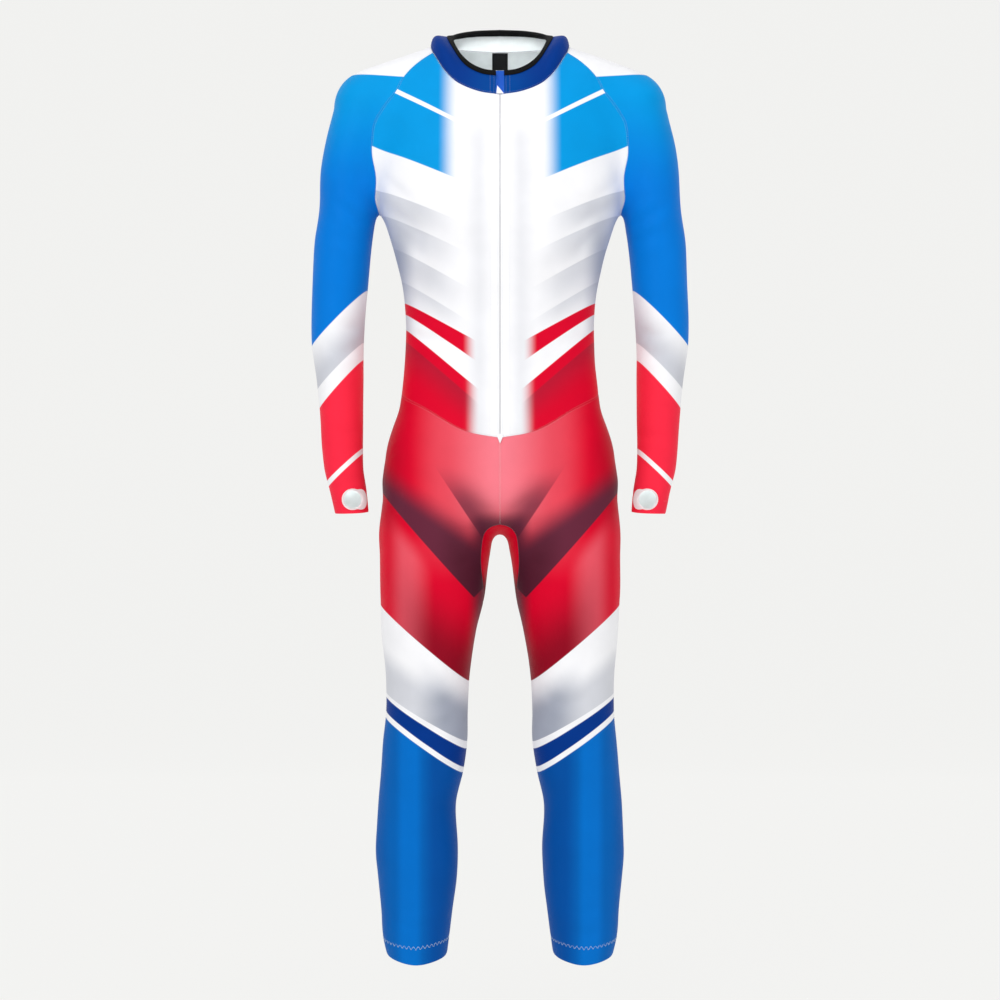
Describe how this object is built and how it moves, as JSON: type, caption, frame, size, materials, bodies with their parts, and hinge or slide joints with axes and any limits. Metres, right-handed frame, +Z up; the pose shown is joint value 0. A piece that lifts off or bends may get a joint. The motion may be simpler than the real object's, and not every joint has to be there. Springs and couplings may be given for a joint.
{
  "type": "one-piece ski suit",
  "caption": "Close-fitting one-piece race ski suit with raglan sleeves, stand collar, centre front zip and thumb holes, hollow and filled out with no wearer.",
  "frame": {"origin": "between the shoulders, at the base of the neck, where the wearer's body holds the suit up", "axes": "+X to the viewer's right of the front, which is the wearer's left; the front faces -Y; +Z up along the body"},
  "size_m": [0.5906, 0.2368, 1.4672],
  "materials": {
    "print_white": "printed stretch jersey, smooth with a soft sheen",
    "print_blue": "printed stretch jersey, smooth with a soft sheen",
    "print_red": "printed stretch jersey, smooth with a soft sheen",
    "collar_blue": "printed stretch jersey, smooth with a soft sheen",
    "lining_white": "brushed knit, matte",
    "binding_black": "elastic binding, matte ribbed",
    "label_black": "woven satin label",
    "tape_white": "woven tape",
    "zip_plastic": "nylon coil and moulded slider"
  },
  "bodies": {
    "root": {"front_left": "print_white", "front_right": "print_white", "back": "print_white", "sleeve_front_left": "print_blue", "sleeve_front_right": "print_blue", "sleeve_back_left": "print_blue", "sleeve_back_right": "print_blue", "leg_front_left": "print_red", "leg_front_right": "print_red", "leg_back_left": "print_red", "leg_back_right": "print_red", "crotch_gusset": "print_red", "collar": "collar_blue", "collar_lining": "lining_white", "collar_binding": "binding_black", "neck_label": "label_black", "zip_guard": "collar_blue", "zip_cover": "tape_white", "zip_end_tab": "tape_white", "zip_tape_left": "tape_white", "zip_tape_right": "tape_white", "zip_coil": "zip_plastic", "zip_slider": "zip_plastic", "zip_pull": "zip_plastic", "thumb_binding_left": "tape_white", "thumb_binding_right": "tape_white"}
  },
  "joints": []
}
